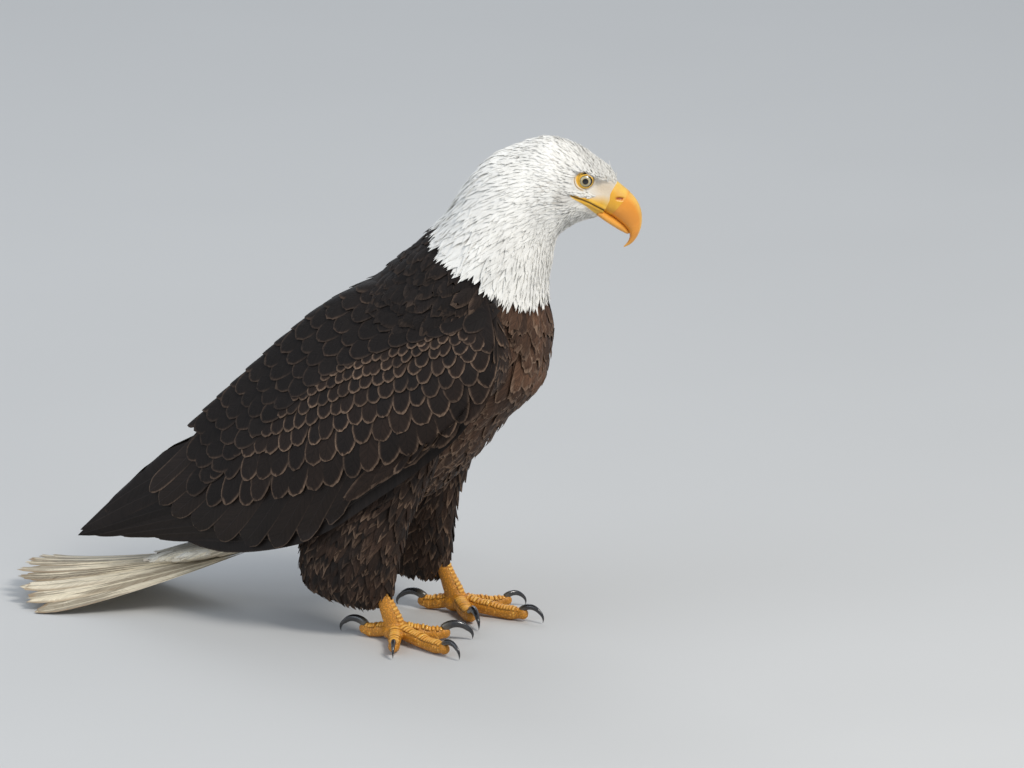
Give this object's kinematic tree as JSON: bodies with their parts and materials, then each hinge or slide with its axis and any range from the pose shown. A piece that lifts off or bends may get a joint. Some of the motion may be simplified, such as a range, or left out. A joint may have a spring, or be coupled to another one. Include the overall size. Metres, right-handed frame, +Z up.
{
  "type": "bald eagle",
  "caption": "Adult bald eagle standing on level ground, wings folded, head turned a little to its left, fanned tail resting on the ground.",
  "frame": {"origin": "bottom centre of the bounding box, on the ground the bird stands on", "axes": "+X the way the breast faces, +Y the bird's left, +Z up"},
  "size_m": [0.6398, 0.2398, 0.5135],
  "materials": {
    "white_feathers": "matt feathers over skin",
    "tail_feathers": "matt white feathers with brown edges",
    "body_feathers": "matt blackish brown feathers with pale rims",
    "flight_feathers": "satin blackish brown feathers",
    "feet": "scaly yellow-orange skin",
    "claws": "glossy black horn",
    "bill": "satin orange-yellow horn",
    "cere": "soft yellow skin",
    "eyes": "wet pale yellow iris with a black pupil"
  },
  "bodies": {
    "root": {"bill_lower": "bill", "bill_upper": "bill", "cere": "cere", "claw_left_1": "claws", "claw_left_2": "claws", "claw_left_3": "claws", "claw_left_4": "claws", "claw_right_1": "claws", "claw_right_2": "claws", "claw_right_3": "claws", "claw_right_4": "claws", "eye_left": "eyes", "eye_right": "eyes", "head": "white_feathers", "neck": "white_feathers", "tail": "tail_feathers", "tarsus_left": "feet", "tarsus_right": "feet", "thigh_left": "body_feathers", "thigh_right": "body_feathers", "toe_left_1": "feet", "toe_left_2": "feet", "toe_left_3": "feet", "toe_left_4": "feet", "toe_right_1": "feet", "toe_right_2": "feet", "toe_right_3": "feet", "toe_right_4": "feet", "trunk": "body_feathers", "wing_left_coverts": "body_feathers", "wing_left_primaries": "flight_feathers", "wing_left_secondaries": "flight_feathers", "wing_right_coverts": "body_feathers", "wing_right_primaries": "flight_feathers", "wing_right_secondaries": "flight_feathers"}
  },
  "joints": []
}
